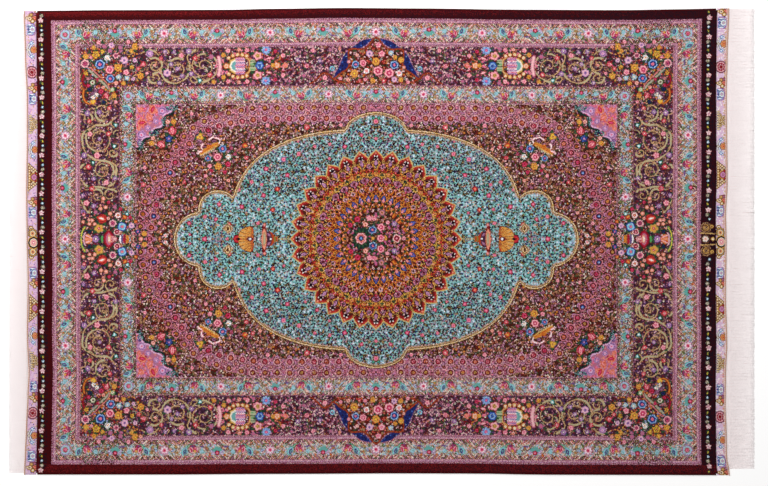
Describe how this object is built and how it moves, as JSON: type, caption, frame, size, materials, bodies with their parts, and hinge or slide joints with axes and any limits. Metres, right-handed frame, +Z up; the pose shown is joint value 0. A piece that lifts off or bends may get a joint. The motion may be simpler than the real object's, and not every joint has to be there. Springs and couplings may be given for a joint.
{
  "type": "persian rug",
  "caption": "Rectangular hand-knotted rug lying flat, with overcast side edges, a flat-woven band and a twined edging at each end, and warp fringes.",
  "frame": {"origin": "on the floor under the middle of the rug's box, with both fringes", "axes": "+X along the rug's length to the end with the longer fringe, +Y across its width, +Z up out of the pile"},
  "size_m": [2.2002, 1.3778, 0.005],
  "materials": {
    "knotted_silk": "cut silk pile, sheared short",
    "maroon_silk": "overcast silk yarn",
    "lilac_silk": "flat weave",
    "gold_silk": "twined silk yarn",
    "undyed_silk": "loose warp ends"
  },
  "bodies": {
    "root": {"panel": "knotted_silk", "selvedge_far": "maroon_silk", "selvedge_near": "maroon_silk", "kilim_left": "lilac_silk", "kilim_right": "lilac_silk", "edging_left": "gold_silk", "edging_right": "gold_silk", "fringe_left": "undyed_silk", "fringe_right": "undyed_silk"}
  },
  "joints": []
}
